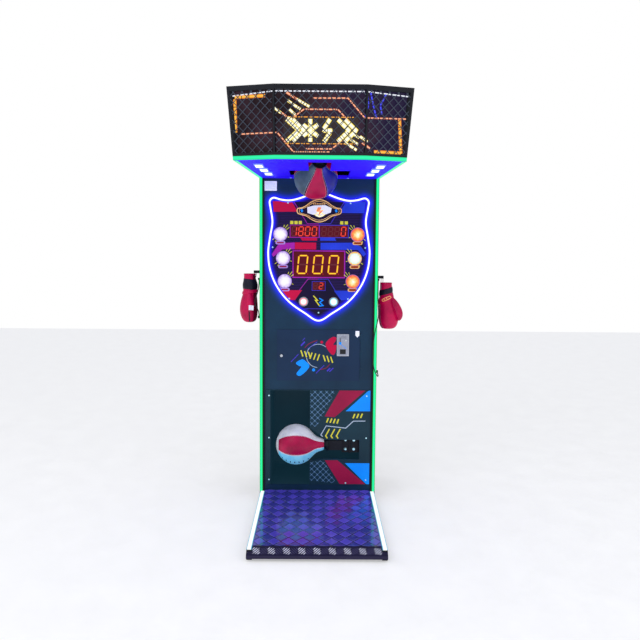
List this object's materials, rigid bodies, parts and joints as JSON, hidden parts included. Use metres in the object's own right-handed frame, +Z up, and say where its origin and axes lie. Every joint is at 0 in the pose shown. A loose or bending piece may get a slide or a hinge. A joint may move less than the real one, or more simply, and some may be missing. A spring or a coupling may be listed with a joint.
{
  "type": "arcade punch and kick machine",
  "caption": "Upright arcade strength tester with a platform, a canopy holding a swinging punch ball, a kick ball in a low recess, score shield, coin door and gloves.",
  "frame": {"origin": "on the floor, on the cabinet's centre line, under the front face of the front panel", "axes": "+X to the player's right, +Y from the player into the cabinet, +Z up"},
  "size_m": [0.9576, 1.279, 2.1785],
  "materials": {
    "black_board": "black laminate board",
    "steel_frame": "black powder coat",
    "tread": "lozenge tread plate",
    "front_print": "printed acrylic",
    "door_print": "printed steel sheet",
    "edge_light": "lit diffuser",
    "white_light": "lit white diffuser",
    "neon": "lit flexible tube",
    "display": "lit digits behind a dark filter",
    "lamp": "frosted lens",
    "button_red": "moulded",
    "button_blue": "moulded",
    "button_body": "moulded",
    "bright_steel": "plated",
    "brushed": "brushed",
    "marquee_print": "lit printed acrylic",
    "black_mesh": "expanded metal, black",
    "ball_leather": "stitched panels",
    "kick_leather": "stitched panels",
    "glove_leather": "padded synthetic leather",
    "rubber": "moulded",
    "cord": "braided cord",
    "board_green": "circuit board"
  },
  "bodies": {
    "cabinet": {"back_panel": "black_board", "base_frame": "steel_frame", "button_housings": "button_body", "canopy_light": "edge_light", "coin_box": "brushed", "deck_board": "black_board", "door_hinges": "brushed", "edge_lights": "edge_light", "front_panel": "black_board", "glove_holders": "steel_frame", "head_frame": "steel_frame", "head_sides": "black_board", "head_top_cover": "black_board", "holding_magnet": "bright_steel", "kick_art_panel": "front_print", "kick_bracket": "steel_frame", "kick_chamber": "black_board", "kick_spring": "brushed", "main_board": "board_green", "marquee_frame": "steel_frame", "marquee_mesh": "black_mesh", "marquee_screen": "marquee_print", "nose_plate": "tread", "panel_screws": "bright_steel", "panel_trims": "steel_frame", "platform_lights": "white_light", "platform_rails": "steel_frame", "power_inlet": "button_body", "punch_bearings": "steel_frame", "score_display": "display", "score_lamps": "lamp", "shield_neon": "neon", "shield_panel": "front_print", "side_panel_left": "black_board", "side_panel_right": "black_board", "small_displays": "display", "soffit_lamps": "white_light", "soffit_panel": "front_print", "tether_left": "cord", "tether_right": "cord", "tread_plate": "tread"},
    "punch": {"punch_shaft": "brushed", "punch_arm": "steel_frame", "punch_ball": "ball_leather"},
    "kick": {"kick_arm": "steel_frame", "kick_ball": "kick_leather"},
    "red_button": {"start_button_red": "button_red"},
    "blue_button": {"start_button_blue": "button_blue"},
    "coin_door": {"coin_door": "door_print", "coin_mech_plate": "brushed", "coin_mech": "button_body"},
    "coin_lock": {"coin_lock": "bright_steel"},
    "reject": {"reject_button": "bright_steel"},
    "return_flap": {"return_flap": "button_body"},
    "rear_door": {"rear_door": "black_board"},
    "rear_lock": {"rear_lock": "bright_steel"},
    "left_glove": {"glove_left": "glove_leather"},
    "right_glove": {"glove_right": "glove_leather"},
    "left_wheel": {"wheel_left": "rubber"},
    "right_wheel": {"wheel_right": "rubber"}
  },
  "joints": [
    {"name": "punch_swing", "type": "hinge", "parent": "cabinet", "child": "punch", "pos_m": [0, -0.565, 1.975], "axis": [-1, 0, 0], "range_deg": [0, 76]},
    {"name": "kick_swing", "type": "hinge", "parent": "cabinet", "child": "kick", "pos_m": [0.1885, 0.022, 0.328], "axis": [0, 0, -1], "range_deg": [0, 55], "stiffness_Nm_per_rad": 8},
    {"name": "red_button_press", "type": "slide", "parent": "cabinet", "child": "red_button", "axis": [0, 1, 0], "range_m": [0, 0.0035], "stiffness_N_per_m": 300},
    {"name": "blue_button_press", "type": "slide", "parent": "cabinet", "child": "blue_button", "axis": [0, 1, 0], "range_m": [0, 0.0035], "stiffness_N_per_m": 300},
    {"name": "coin_door_swing", "type": "hinge", "parent": "cabinet", "child": "coin_door", "pos_m": [0.241, -0.0027, 0.86], "axis": [0, 0, 1], "range_deg": [0, 100]},
    {"name": "coin_lock_turn", "type": "hinge", "parent": "coin_door", "child": "coin_lock", "pos_m": [-0.212, 0, 0.858], "axis": [0, 1, 0], "range_deg": [0, 90]},
    {"name": "reject_press", "type": "slide", "parent": "coin_door", "child": "reject", "axis": [0, 1, 0], "range_m": [0, 0.003], "stiffness_N_per_m": 200},
    {"name": "return_flap_swing", "type": "hinge", "parent": "coin_door", "child": "return_flap", "pos_m": [0.142, -0.006, 0.8965], "axis": [1, 0, 0], "range_deg": [0, 50]},
    {"name": "rear_door_swing", "type": "hinge", "parent": "cabinet", "child": "rear_door", "pos_m": [0.23, 0.4445, 1.11], "axis": [0, 0, -1], "range_deg": [0, 110]},
    {"name": "rear_lock_turn", "type": "hinge", "parent": "rear_door", "child": "rear_lock", "pos_m": [-0.205, 0.43, 1.11], "axis": [0, 1, 0], "range_deg": [0, 90]},
    {"name": "left_glove_swing", "type": "hinge", "parent": "cabinet", "child": "left_glove", "pos_m": [-0.372, 0.1, 1.338], "axis": [0, 1, 0], "range_deg": [0, 60]},
    {"name": "right_glove_swing", "type": "hinge", "parent": "cabinet", "child": "right_glove", "pos_m": [0.372, 0.1, 1.312], "axis": [0, -1, 0], "range_deg": [0, 60]},
    {"name": "left_wheel_spin", "type": "hinge", "parent": "cabinet", "child": "left_wheel", "pos_m": [-0.25, 0.467, 0.027], "axis": [1, 0, 0], "continuous": true},
    {"name": "right_wheel_spin", "type": "hinge", "parent": "cabinet", "child": "right_wheel", "pos_m": [0.25, 0.467, 0.027], "axis": [1, 0, 0], "continuous": true}
  ]
}
